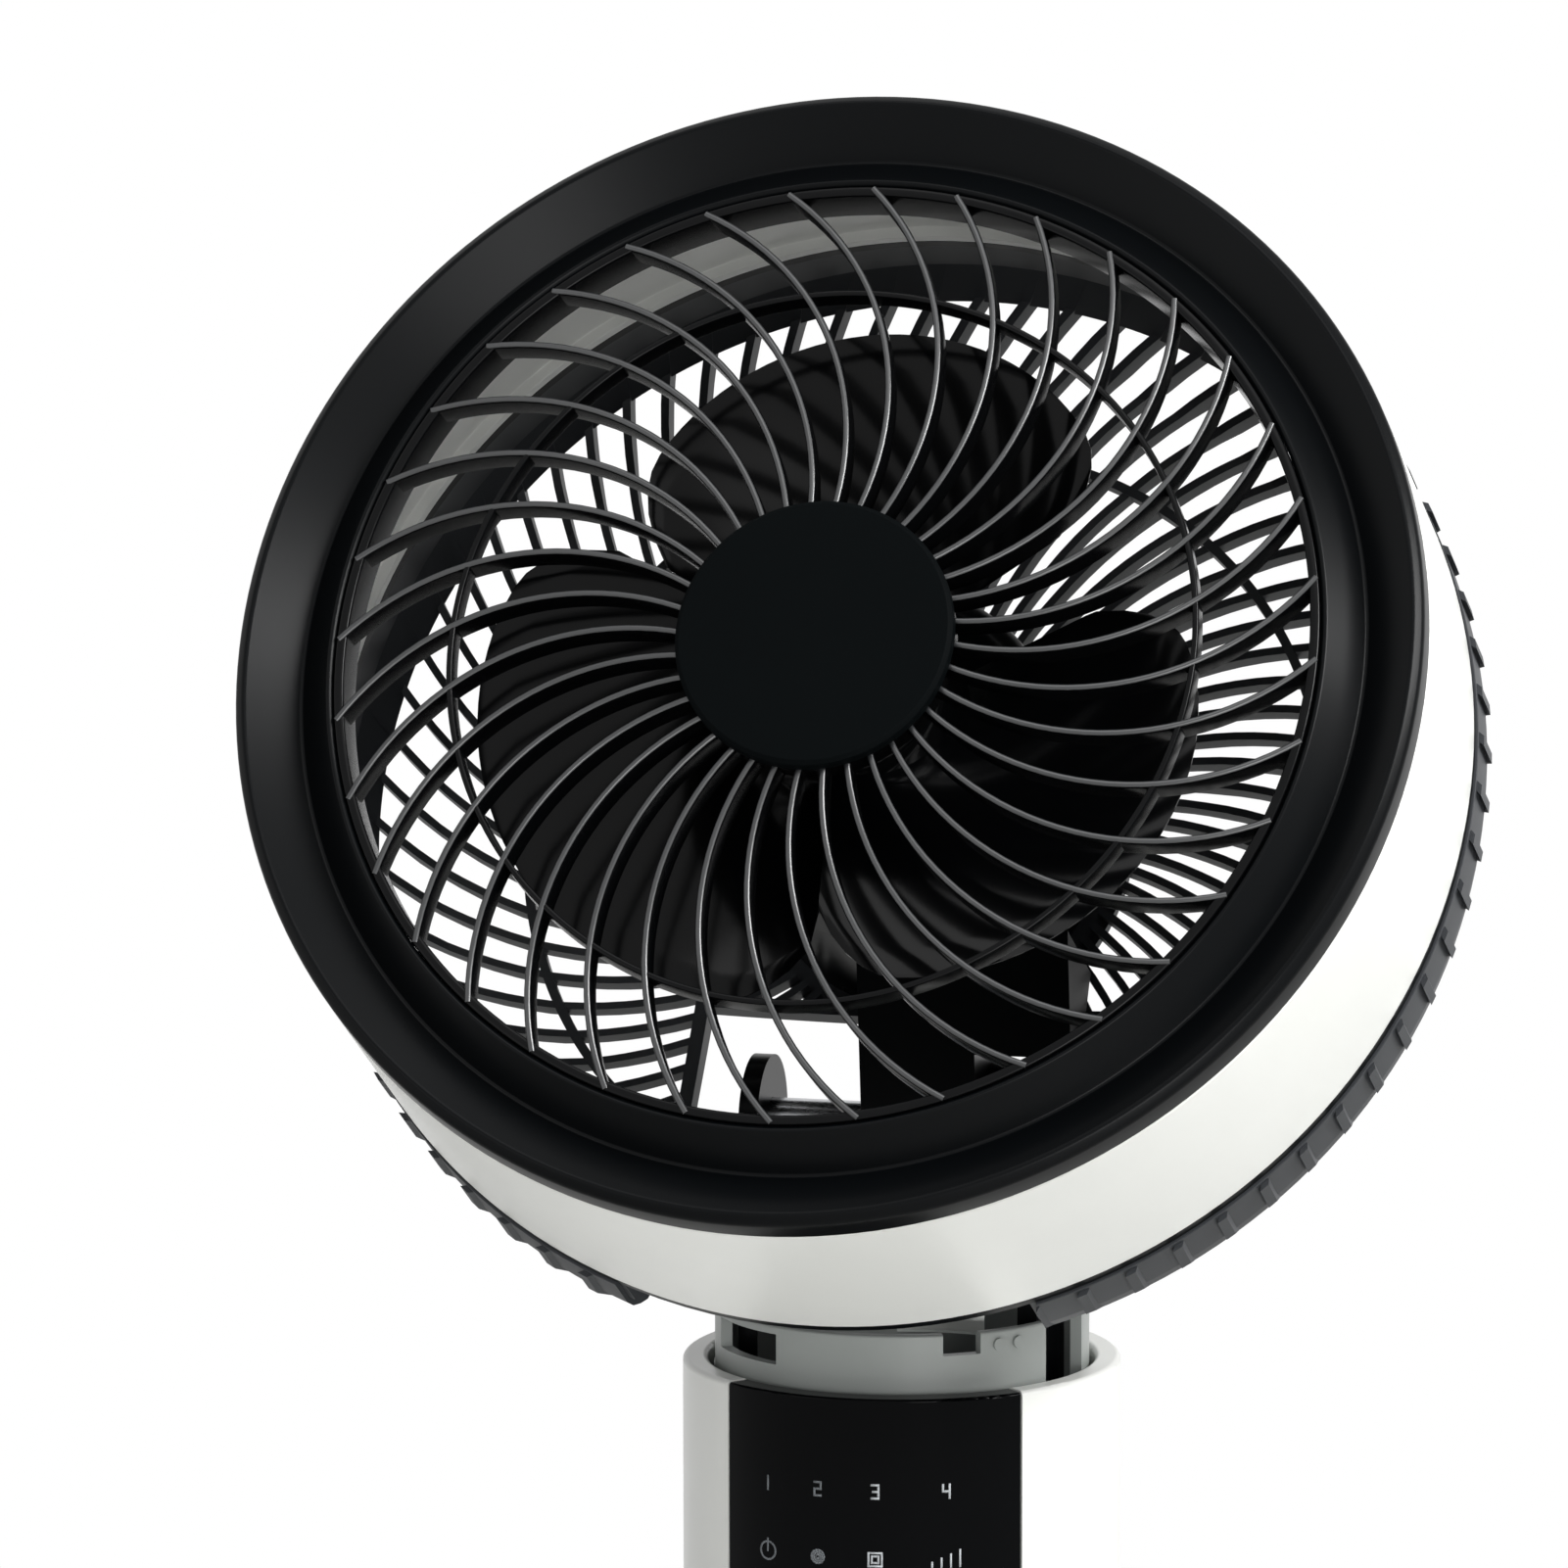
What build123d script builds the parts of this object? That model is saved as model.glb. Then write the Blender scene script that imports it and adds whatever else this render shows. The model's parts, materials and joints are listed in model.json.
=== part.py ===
from build123d import *
import math
import os

# Oscillating pedestal fan. Millimetres, +Z up, origin on the floor on the column's axis.
# The control panel faces -Y. The head is stored tilted up and turned a little to its right,
# as it stands in the photograph.

# Overall heights and the placing of the head
column_rim_height = 640.0
column_length = 230.0
head_tilt_deg = 30.0
head_turn_deg = 4.0
head_forward = 84.0
head_rise = 194.8
tilt_axis_rise = 60.0

# Head casing
head_radius = 150.0
head_wall = 3.0
shell_depth = 80.0
bezel_side = 10.0
bezel_valley_radius = 134.6
bezel_valley_depth = 9.4
bezel_opening_radius = 124.5
bezel_wall = 2.6
bezel_edge_round = 1.2

# Front grille
rib_count = 36
rib_width = 1.8
rib_depth = 8.0
rib_lead_deg = 21.0
rib_mid_lead_deg = 8.5
rib_mid_radius = 92.0
grille_dome = 8.0
grille_ring_radius = 94.0
grille_ring_width = 1.6
grille_rim_width = 2.6
hub_cap_radius = 35.0
hub_cap_height = 4.0
hub_plate = 2.0

# Rear grille
rear_rib_count = 72
rear_rib_width = 2.0
rear_rib_depth = 5.0
rear_rib_proud = 3.6
rear_rib_lead_deg = 30.0
rear_rib_mid_lead_deg = 15.0
rear_skirt_depth = 14.0
rear_liner_depth = 12.0
rear_dome_depth = 45.0
rear_hub_radius = 52.0
rear_hoop_radius = 104.0
rear_plate = 3.0
trim_ring_depth = 3.0
notch_half_width = 52.0
notch_top = 49.0
notch_frame = 3.5

# Impeller and motor
blade_count = 3
blade_tip_radius = 93.0
blade_thickness = 2.2
blade_sweep_deg = 112.0
blade_axial_depth = 30.0
blade_mid_depth = 33.0
impeller_hub_radius = 27.0
impeller_hub_depth = 30.0
impeller_wall = 2.5
shaft_radius = 4.0
motor_radius = 45.0
motor_front_depth = 64.0
motor_wall = 2.5
stator_radius = 37.0
stator_length = 26.0
rotor_radius = 22.0
bearing_radius = 11.0
bearing_width = 7.0

# Tilt joint
tilt_arm_left = 6.0
tilt_arm_right = 24.0
arm_housing_right = 49.0
arm_housing_drop = 27.0
tilt_boss_radius = 19.0
axle_radius = 5.0
axle_head_radius = 8.0
axle_head = 2.5
bush_wall = 2.0
bush_length = 13.0
gear_module = 1.0
tilt_gear_teeth = 56
tilt_pinion_teeth = 14
tilt_gear_thickness = 5.0
tilt_gear_front_deg = 62.0
tilt_gear_rear_deg = 48.0
pinion_bore = 2.0
tooth_thinning = 0.3
gear_face_margin = 1.0

# Neck
neck_radius = 48.0
neck_wall = 3.0
neck_rise = 14.5
neck_drop = 26.0
yoke_floor = 6.0
cheek_inner = 34.0
cheek_thickness = 5.0
cheek_half_width = 16.0
spigot_radius = 15.0
spigot_bore = 9.0
spigot_length = 32.0

# Swing drive
swing_gear_teeth = 60
swing_pinion_teeth = 15
swing_gear_thickness = 6.0
deck_drop = 40.0
deck_thickness = 4.0
washer_thickness = 2.0
washer_width = 9.0
retainer_width = 5.0
retainer_thickness = 2.5
geared_motor_radius = 15.0
geared_motor_length = 16.0

# Control column
column_radius = 56.0
column_wall = 3.2
column_lip_radius = 49.5
column_lip_depth = 8.0
panel_half_deg = 42.4
panel_length = 190.0
panel_gap = 0.5
panel_wall = 3.0
board_thickness = 1.6
display_board_width = 58.0
display_board_length = 150.0
power_board_width = 60.0
power_board_length = 90.0

# Pole and base
pole_radius = 21.0
pole_wall = 1.5
pole_bottom = 26.0
pole_insert = 56.0
cap_taper = 26.0
cap_floor = 4.0
socket_wall = 4.0
base_radius = 160.0
base_wall = 3.0
base_edge_height = 10.0
base_crown_height = 30.0
base_collar_radius = 40.0
base_collar_height = 16.0
base_plate_thickness = 2.5
base_plate_inset = 4.0
foot_radius = 10.0
foot_height = 4.0
foot_count = 6
foot_circle = 132.0
weight_inner = 62.0
weight_outer = 136.0
weight_thickness = 6.0
flange_radius = 36.0
flange_thickness = 5.0
sleeve_length = 60.0

# Fasteners and clearances
screw_radius = 2.0
screw_head_radius = 3.6
screw_head_height = 2.0
motor_screw_circle = 40.5
inlet_radius = 5.5
inlet_bore = 2.8
inlet_length = 18.0
inlet_rise = 24.0
running_clearance = 0.06
moving_gap = 0.4
seat_gap = 0.1


def wedge(radius, half_deg, centre_deg, low, high):
    """A pie slice about Z, for cutting or keeping a stretch of a tube."""
    start = math.radians(centre_deg - half_deg)
    end = math.radians(centre_deg + half_deg)
    mid = math.radians(centre_deg)
    arc = ThreePointArc(
        (radius * math.cos(start), radius * math.sin(start)),
        (radius * math.cos(mid), radius * math.sin(mid)),
        (radius * math.cos(end), radius * math.sin(end)),
    )
    face = make_face([Line((0, 0), arc @ 0), arc, Line(arc @ 1, (0, 0))])
    return Pos(0, 0, low) * extrude(face, high - low)


def tube(outer, inner, low, high):
    """A straight tube about Z between two heights."""
    ring = Circle(outer) - Circle(inner)
    return Pos(0, 0, low) * extrude(ring, high - low)


def disc(radius, low, high):
    """A solid disc about Z between two heights."""
    return Pos(0, 0, low) * extrude(Circle(radius), high - low)


def spun(points):
    """A solid of revolution about Z from an outline of radius and height pairs."""
    outline = Polyline(*points, close=True)
    return revolve(Plane.XZ * make_face(outline), Axis.Z, 360)


def turned(solid, count, first_deg=0.0):
    """Copies of a solid set evenly round Z."""
    step = 360.0 / count
    return [Rot(0, 0, first_deg + step * i) * solid for i in range(count)]


def screw(length):
    """A pan-head screw that points down from its head's seat at the origin."""
    return disc(screw_head_radius, 0, screw_head_height) + disc(screw_radius, -length, 0)


def gear_outline(teeth, thinning):
    """An involute outline at 20 degrees, each tooth thinned for backlash."""
    pitch = gear_module * teeth / 2
    base = pitch * math.cos(math.radians(20))
    tip = pitch + gear_module
    root = pitch - 1.25 * gear_module
    half = math.pi / (2 * teeth) - thinning / (2 * pitch)
    inv_pitch = math.tan(math.radians(20)) - math.radians(20)
    start = max(base, root)
    flank = []
    for step in range(4):
        radius = start + (tip - start) * step / 3
        turn = math.acos(min(1.0, base / radius))
        flank.append((radius, half + inv_pitch - (math.tan(turn) - turn)))
    points = []
    for tooth in range(teeth):
        centre = 2 * math.pi * tooth / teeth
        side = [(root, -flank[0][1])] if root < start else []
        side += [(radius, -angle) for radius, angle in flank]
        side += [(radius, angle) for radius, angle in reversed(flank)]
        side += [(root, flank[0][1])] if root < start else []
        points += [(r * math.cos(centre + a), r * math.sin(centre + a)) for r, a in side]
    return make_face(Polyline(*points, close=True))


def spiral_strip(inner, middle, outer, mid_deg, end_deg, width, low, high):
    """An upright strip along the arc through three points given as radius and lead."""
    def place(radius, degrees):
        return Vector(radius * math.cos(math.radians(degrees)), radius * math.sin(math.radians(degrees)))
    start, mid, end = place(inner, 0), place(middle, mid_deg), place(outer, end_deg)
    arc = ThreePointArc(start, mid, end)
    centre = Vector(arc.arc_center.X, arc.arc_center.Y)
    edges = []
    for offset in (-width / 2, width / 2):
        ends = [p + (p - centre).normalized() * offset for p in (start, mid, end)]
        edges.append(ThreePointArc(*ends))
    near, far = edges
    face = make_face([near, Line(near @ 1, far @ 1), far, Line(far @ 0, near @ 0)])
    return Pos(0, 0, low) * extrude(face, high - low)


# Frames: the head's own frame has +Z out of its front, with the bezel's front plane at 0.
# Neck and head are built facing -Y and then turned together about the column's axis.
swing_turn = Rot(0, 0, -head_turn_deg)
head_frame = Location((0, -head_forward, column_rim_height + head_rise), (90 - head_tilt_deg, 0, 0))
rim_frame = Location((0, 0, column_rim_height))
tilt_cos = math.cos(math.radians(head_tilt_deg))
tilt_sin = math.sin(math.radians(head_tilt_deg))
pivot_y = -head_forward * -tilt_sin + (tilt_axis_rise - head_rise) * tilt_cos
pivot_z = -head_forward * tilt_cos + (tilt_axis_rise - head_rise) * tilt_sin
shell_inner = head_radius - head_wall
trim_front = -shell_depth
trim_back = -shell_depth - trim_ring_depth
skirt_back = trim_back - rear_skirt_depth
dome_back = skirt_back - rear_dome_depth
plate_front = dome_back + rear_rib_depth
motor_back = dome_back + 1 + rear_plate
front_bearing_low = -motor_front_depth - motor_wall - 1 - seat_gap - bearing_width
axle_along_x = Rot(0, 90, 0)


def dome_height(radius):
    """Height of the front grille's face over the bezel's front plane."""
    return grille_dome * (1 - (radius / bezel_opening_radius) ** 2)


def front_bezel():
    back = bezel_wall
    outline = Polyline(
        (head_radius, -bezel_side),
        (head_radius, -back),
        (head_radius - back, 0),
        (bezel_valley_radius, -bezel_valley_depth),
        (bezel_opening_radius + back / 2, 0),
        (bezel_opening_radius, -back / 2),
        (bezel_opening_radius, -bezel_side - back),
        (bezel_opening_radius + back, -bezel_side - back),
        (bezel_opening_radius + back, -2 * back),
        (bezel_valley_radius, -bezel_valley_depth - back - 0.8),
        (head_radius - back, -2 * back),
        (head_radius - back, -bezel_side),
        close=True,
    )
    face = make_face(outline)
    crests = face.vertices().sort_by(Axis.Y)[-2:]
    shoulders = [v for v in face.vertices() if -back - 0.1 < v.Y < -0.1]
    face = fillet(list(crests) + shoulders, bezel_edge_round * 0.6)
    return revolve(Plane.XZ * face, Axis.Z, 360)


def front_band():
    """The space that the front grille's ribs fill, between its face and its back."""
    rim = bezel_opening_radius - seat_gap
    low = -bezel_side - bezel_wall
    steps = 5
    radii = [rim * i / steps for i in range(steps, -1, -1)]
    front = [(r, dome_height(r)) for r in radii]
    back = [(r, dome_height(r) - rib_depth) for r in reversed(radii[1:])]
    return spun([(rim, low), *front, *back, (rim - grille_rim_width, low)])


def front_grille():
    band = front_band()
    low = -bezel_side - bezel_wall
    rim_outer = bezel_opening_radius - seat_gap
    strip = spiral_strip(
        hub_cap_radius - 2, rib_mid_radius, rim_outer - 0.5,
        rib_mid_lead_deg, rib_lead_deg, rib_width, low, grille_dome * 2,
    )
    rib = strip & band
    ring_half = grille_ring_width / 2
    ring_top = dome_height(grille_ring_radius) - 0.6
    ring = tube(grille_ring_radius + ring_half, grille_ring_radius - ring_half, ring_top - rib_depth + 2, ring_top)
    rim = tube(rim_outer, rim_outer - grille_rim_width, low, -0.2)
    hub_top = dome_height(hub_cap_radius)
    hub = disc(hub_cap_radius - 1, hub_top - hub_plate, hub_top)
    hub += tube(hub_cap_radius - 1, hub_cap_radius - 3.5, hub_top - rib_depth, hub_top)
    return hub + [ring, rim, *turned(rib, rib_count)]


def hub_cap():
    seat = dome_height(hub_cap_radius)
    body = disc(hub_cap_radius, seat, seat + hub_cap_height)
    body = chamfer(body.edges().group_by(Axis.Z)[-1], 0.9)
    recess = disc(hub_cap_radius - 3, seat, seat + hub_cap_height / 2)
    return body - recess


def head_shell():
    body = tube(head_radius, shell_inner, -shell_depth, -bezel_side)
    outer_edges = body.edges().group_by(Axis.Z)[0].sort_by(SortBy.LENGTH)[-1:]
    body = fillet(outer_edges, head_wall / 3)
    ledge = tube(shell_inner, shell_inner - 3, -shell_depth + 3, -shell_depth + 6)
    post = Pos(shell_inner - 3, 0, 0) * disc(3.5, -shell_depth + 3, -bezel_side - 20)
    return body + [ledge, *turned(post, 6, 30)]


def rear_trim_ring():
    return tube(head_radius - 0.4, shell_inner - 3, trim_back, trim_front)


def rear_profile(radius, back):
    """Points of the rear dome from its skirt to its centre, along a quarter ellipse."""
    steps = 6
    turns = [math.pi / 2 * i / steps for i in range(steps + 1)]
    return [(radius * math.cos(t), skirt_back + (back - skirt_back) * math.sin(t)) for t in turns]


def rear_band(outer, back, inner, inner_back, top):
    """Revolved band between an outer and an inner dome, open to the front."""
    outside = [(outer, top), *rear_profile(outer, back)]
    inside = [(inner, top), *rear_profile(inner, inner_back)]
    return spun([*outside, *reversed(inside)])


def rear_grille():
    skirt_radius = head_radius - 2
    top = trim_back
    ribs_band = rear_band(
        skirt_radius + rear_rib_proud, dome_back, skirt_radius - 3, plate_front, top - 1.5,
    )
    strip = spiral_strip(
        rear_hub_radius - 3, 105, skirt_radius + rear_rib_proud + 1,
        -rear_rib_mid_lead_deg, -rear_rib_lead_deg, rear_rib_width, dome_back - 1, top,
    )
    rib = strip & ribs_band
    liner_back = skirt_back - rear_liner_depth
    liner_radius = skirt_radius * math.sqrt(1 - (rear_liner_depth / rear_dome_depth) ** 2)
    skirt = spun([
        (skirt_radius, top), (skirt_radius, skirt_back), (liner_radius, liner_back),
        (liner_radius - 3, liner_back), (skirt_radius - 3, skirt_back), (skirt_radius - 3, top),
    ])
    plate = disc(rear_hub_radius, dome_back + 1, dome_back + 1 + rear_plate)
    hoop_share = math.sqrt(1 - (rear_hoop_radius / skirt_radius) ** 2)
    hoop_back = skirt_back + (dome_back - skirt_back) * hoop_share + 0.6
    hoop = tube(rear_hoop_radius + 1.2, rear_hoop_radius - 1.2, hoop_back, hoop_back + rear_rib_depth - 1)
    plate -= turned(Pos(motor_screw_circle, 0, 0) * disc(screw_radius + seat_gap, dome_back - 1, 0), 4, 45)
    notch = notch_block(notch_frame / 2)
    frame_band = rear_band(skirt_radius + 1, dome_back - 0.7, skirt_radius - 4, plate_front + 0.8, top - 0.5)
    frame = frame_band & (notch_block(notch_frame) - notch_block(0))
    pieces = [skirt - notch, hoop - notch, frame]
    for copy in turned(rib, rear_rib_count):
        pieces += (copy - notch).solids()
    return (plate - notch) + pieces


def notch_block(margin):
    """The upright block that the rear grille leaves free for the neck."""
    reach = head_radius + 20
    height = 2 * abs(dome_back)
    middle = -notch_top + margin - reach / 2
    return Pos(0, middle, dome_back) * Box(2 * (notch_half_width + margin), reach, height)


def impeller_blade():
    """One wide blade, lofted through upright sections that turn about the axis."""
    sections = []
    count = 9
    root = impeller_hub_radius - 1
    for i in range(count):
        share = i / (count - 1)
        angle = (share - 0.5) * blade_sweep_deg
        swell = math.sin(math.pi * (0.07 + 0.86 * share)) ** 0.45
        tip = root + (blade_tip_radius - root) * (0.55 + 0.45 * swell) if 0 < i < count - 1 else root + (
            blade_tip_radius - root) * 0.72
        depth = -blade_mid_depth - blade_axial_depth * (share - 0.5)
        twist = math.radians(10)
        frame = Plane(
            origin=(0, 0, depth),
            x_dir=(math.cos(math.radians(angle)), math.sin(math.radians(angle)), 0),
            z_dir=(-math.sin(math.radians(angle)), math.cos(math.radians(angle)), 0),
        )
        length = tip - root
        half = blade_thickness / 2
        lift = length * math.sin(twist)
        section = make_face(Polyline(
            (root, -half), (tip, lift - half * 0.6), (tip, lift + half * 0.6), (root, half), close=True,
        ))
        sections.append(frame * section)
    return loft(sections)


def impeller():
    front = -blade_mid_depth + impeller_hub_depth / 2
    back = front - impeller_hub_depth
    hub = disc(impeller_hub_radius, back, front)
    hub = fillet(hub.edges().group_by(Axis.Z)[-1], 6)
    hub -= disc(impeller_hub_radius - impeller_wall, back, front - 6)
    hub += disc(9, back, front - 3)
    body = hub + turned(impeller_blade(), blade_count, 90)
    inside = disc(impeller_hub_radius - impeller_wall, back - 40, front - 6) - disc(9, back - 40, front)
    body -= inside
    return body - disc(shaft_radius, back - 5, front + 5)


def spinner_nut():
    seat = -blade_mid_depth + impeller_hub_depth / 2 + seat_gap
    nut = Pos(0, 0, seat) * extrude(RegularPolygon(8, 6), 6)
    nut = nut + disc(10, seat, seat + 2)
    return nut - disc(shaft_radius, seat - 1, seat + 4)


def motor_shaft():
    tip = -blade_mid_depth + impeller_hub_depth / 2 + seat_gap + 4
    return disc(shaft_radius, motor_back + motor_wall + 3, tip)


def motor_front_cover():
    body = disc(motor_radius, -motor_front_depth - 24, -motor_front_depth)
    body = fillet(body.edges().group_by(Axis.Z)[-1], 8)
    body -= disc(motor_radius - motor_wall, -motor_front_depth - 24, -motor_front_depth - motor_wall - 1)
    body += tube(bearing_radius + 2.5, bearing_radius, front_bearing_low, front_bearing_low + bearing_width + 1)
    return body - disc(bearing_radius - 3, -motor_front_depth - 10, -motor_front_depth + 1)


def motor_rear_cover():
    front = -motor_front_depth - 24 - seat_gap
    body = tube(motor_radius, motor_radius - motor_wall, motor_back, front)
    body += disc(motor_radius, motor_back, motor_back + motor_wall)
    seat = motor_back + motor_wall
    body += tube(bearing_radius + 2.5, bearing_radius, seat, seat + bearing_width + 1)
    holes = turned(Pos(motor_screw_circle, 0, 0) * disc(screw_radius + seat_gap, motor_back - 1, seat + 1), 4, 45)
    return body - holes


def motor_screws():
    """Four screws that hold the motor to the rear grille's hub plate."""
    seat = motor_back - rear_plate
    one = Pos(motor_screw_circle, 0, seat) * Rot(180, 0, 0) * screw(rear_plate + motor_wall + 4)
    return Compound(turned(one, 4, 45))


def motor_bearing(low):
    return tube(bearing_radius - seat_gap / 2, shaft_radius + 0.5, low, low + bearing_width)


def motor_bearings():
    """Two ball bearings, each drawn as a plain ring with a groove on its faces."""
    front = motor_bearing(front_bearing_low)
    rear = motor_bearing(motor_back + motor_wall + 0.5)
    groove = tube(8.4, 6.9, -300, 0)
    cuts = []
    for low in (front_bearing_low, motor_back + motor_wall + 0.5):
        cuts.append(groove & disc(20, low + bearing_width - 0.8, low + bearing_width))
    return Compound([front - cuts[0], rear - cuts[1]])


def motor_stator():
    middle = (motor_back - motor_front_depth) / 2 - 2
    low = middle - stator_length / 2
    body = tube(stator_radius, rotor_radius + moving_gap + 0.3, low, low + stator_length)
    slot = Pos(rotor_radius + 6, 0, low) * Box(9, 5, 3 * stator_length)
    return body - turned(slot, 12)


def motor_rotor():
    middle = (motor_back - motor_front_depth) / 2 - 2
    low = middle - stator_length / 2
    return tube(rotor_radius, shaft_radius, low, low + stator_length)


def tilt_arm():
    """The foot of the head: it grips the motor from below, reaches to the right and ends in the pivot boss."""
    arm_top = -motor_radius + 6
    arm_front = -motor_front_depth - 26
    arm_back = motor_back + 17
    foot_y = pivot_y - tilt_boss_radius * 0.74
    foot_z = pivot_z + tilt_boss_radius * 0.67
    boss = Pos(pivot_y, pivot_z) * Circle(tilt_boss_radius)
    web = make_face(Polyline(
        (arm_top, arm_front),
        (arm_top, arm_back),
        (pivot_y, pivot_z - tilt_boss_radius),
        (foot_y, foot_z),
        close=True,
    ))
    body = Pos(-tilt_arm_left, 0, 0) * extrude(Plane.YZ * (boss + web), tilt_arm_left + tilt_arm_right)
    low_y = arm_top - arm_housing_drop
    low_z = arm_front + (foot_z - arm_front) * arm_housing_drop / (arm_top - foot_y)
    housing = make_face(Polyline((arm_top, arm_front), (arm_top, arm_back), (low_y, arm_back), (low_y, low_z), close=True))
    gear_sweep = Pos(pivot_y, pivot_z) * Circle(gear_module * (tilt_gear_teeth / 2 + 1) + 2)
    body += extrude(Plane.YZ * (housing - gear_sweep), arm_housing_right)
    body -= disc(motor_radius + seat_gap, -300, 0)
    bore = Pos(0, pivot_y, pivot_z) * axle_along_x * Cylinder(axle_radius + bush_wall, 100)
    return body - bore


def tilt_bushes():
    out = axle_radius + bush_wall
    inner = axle_radius + running_clearance
    sleeve = tube(out, inner, 0, bush_length)
    place = Pos(0, pivot_y, pivot_z) * axle_along_x
    starts = (-tilt_arm_left, tilt_arm_right - bush_length)
    return Compound([place * Pos(0, 0, start) * sleeve for start in starts])


def tilt_gear():
    """Toothed sector on the arm's right side, centred on the tilt axle."""
    face = gear_outline(tilt_gear_teeth, tooth_thinning)
    plate = extrude(face, tilt_gear_thickness)
    pitch = gear_module * tilt_gear_teeth / 2
    keep = wedge(pitch + 5, (tilt_gear_front_deg + tilt_gear_rear_deg) / 2,
                 (tilt_gear_front_deg - tilt_gear_rear_deg) / 2, -1, tilt_gear_thickness + 1)
    hub = disc(tilt_boss_radius - 2, 0, tilt_gear_thickness)
    body = (plate & keep) + hub
    body -= disc(axle_radius + bush_wall, -1, tilt_gear_thickness + 1)
    stand = Location((tilt_arm_right + seat_gap, 0, column_rim_height + tilt_axis_rise))
    return stand * axle_along_x * body


def tilt_pinion():
    face = gear_outline(tilt_pinion_teeth, tooth_thinning)
    body = extrude(face, tilt_gear_thickness) - disc(pinion_bore + seat_gap / 2, -1, 20)
    half_tooth = 180 / tilt_pinion_teeth
    drop = gear_module * (tilt_gear_teeth + tilt_pinion_teeth) / 2
    place = Location((tilt_arm_right + seat_gap, 0, column_rim_height + tilt_axis_rise - drop))
    return place * axle_along_x * Rot(0, 0, half_tooth) * body


def tilt_motor():
    """Geared motor on the left cheek, its shaft reaching across to the pinion."""
    drop = gear_module * (tilt_gear_teeth + tilt_pinion_teeth) / 2
    place = Location((0, 0, column_rim_height + tilt_axis_rise - drop)) * axle_along_x
    can = disc(geared_motor_radius, -cheek_inner, -cheek_inner + geared_motor_length)
    nose = disc(pinion_bore + 3, -cheek_inner + geared_motor_length, 0)
    shaft = disc(pinion_bore, 0, tilt_arm_right + seat_gap + tilt_gear_thickness)
    return place * (can + nose + shaft)


def tilt_axle():
    half = cheek_inner + cheek_thickness
    body = disc(axle_radius, -half, half) + disc(axle_head_radius, half, half + axle_head)
    clip = disc(axle_head_radius - 1, -half - axle_head + 1, -half)
    place = Location((0, 0, column_rim_height + tilt_axis_rise))
    return place * axle_along_x * (body + clip)


def neck_window(start_deg, end_deg, low, high):
    """A cutter for a window in the collar, by its angles from the front, left minus."""
    centre = (start_deg + end_deg) / 2 - 90
    return wedge(neck_radius + 5, (end_deg - start_deg) / 2, centre, low, high)


def neck_collar():
    inner = neck_radius - neck_wall
    body = tube(neck_radius, inner, -neck_drop, neck_rise)
    body = fillet(body.edges().group_by(Axis.Z)[-1], 0.8)
    body -= neck_window(-60, -28, 4.5, neck_rise - 2.2)
    body -= neck_window(26, 38, neck_rise - 5.5, neck_rise + 5)
    body -= neck_window(63, 86, -8, neck_rise + 5)
    body -= neck_window(-86, -70, -2, neck_rise - 2.2)
    body -= neck_window(165, 195, -4, neck_rise + 5)
    for degrees in (44, 51):
        boss = Rot(0, 0, degrees - 90) * Pos(neck_radius, 0, neck_rise - 3.5) * axle_along_x * Cylinder(1.6, 1.6)
        body += boss
    return rim_frame * body


def yoke():
    """Turntable floor with the two cheeks that hold the tilt axle."""
    floor_top = -neck_drop + yoke_floor
    disc_radius = neck_radius - neck_wall - seat_gap
    body = disc(disc_radius, -neck_drop, floor_top)
    for side in (-1, 1):
        height = tilt_axis_rise - floor_top
        x = side * (cheek_inner + cheek_thickness / 2)
        plate = Pos(x, 0, floor_top + height / 2) * Box(cheek_thickness, 2 * cheek_half_width, height)
        cap = Pos(x, 0, tilt_axis_rise) * axle_along_x * Cylinder(cheek_half_width, cheek_thickness)
        rib = Pos(side * (cheek_inner + cheek_thickness + 1.4), 0, 10) * Box(2.8, 4, 58)
        body += plate + cap + (rib & disc(disc_radius, -100, 100))
    bore = Pos(0, 0, tilt_axis_rise) * axle_along_x * Cylinder(axle_radius + seat_gap / 2, 120)
    body -= bore
    body += disc(spigot_radius, -neck_drop - spigot_length, -neck_drop)
    body -= disc(spigot_bore, -neck_drop - spigot_length - 1, floor_top + 1)
    return rim_frame * body


def swing_gear():
    top = -deck_drop + washer_thickness + moving_gap + swing_gear_thickness
    low = top - swing_gear_thickness
    face = gear_outline(swing_gear_teeth, tooth_thinning) - Circle(spigot_radius + seat_gap / 2)
    body = extrude(face, swing_gear_thickness)
    holes = turned(Pos(22.5, 0) * disc(3.5, -1, 10), 6, 30)
    return rim_frame * Pos(0, 0, low) * (body - holes)


def swing_pinion():
    low = -deck_drop + washer_thickness + moving_gap
    face = gear_outline(swing_pinion_teeth, tooth_thinning)
    body = extrude(face, swing_gear_thickness) - disc(pinion_bore + seat_gap / 2, -1, 20)
    reach = gear_module * (swing_gear_teeth + swing_pinion_teeth) / 2
    mesh_turn = 90 + head_turn_deg * swing_gear_teeth / swing_pinion_teeth
    return rim_frame * Pos(0, reach, low) * Rot(0, 0, mesh_turn) * body


def swing_motor():
    reach = gear_module * (swing_gear_teeth + swing_pinion_teeth) / 2
    deck_low = -deck_drop - deck_thickness
    can = Pos(0, reach, 0) * disc(geared_motor_radius - 1, deck_low - geared_motor_length, deck_low)
    top = -deck_drop + washer_thickness + moving_gap + swing_gear_thickness
    shaft = Pos(0, reach, 0) * disc(pinion_bore, deck_low - 2, top)
    return rim_frame * (can + shaft)


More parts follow.
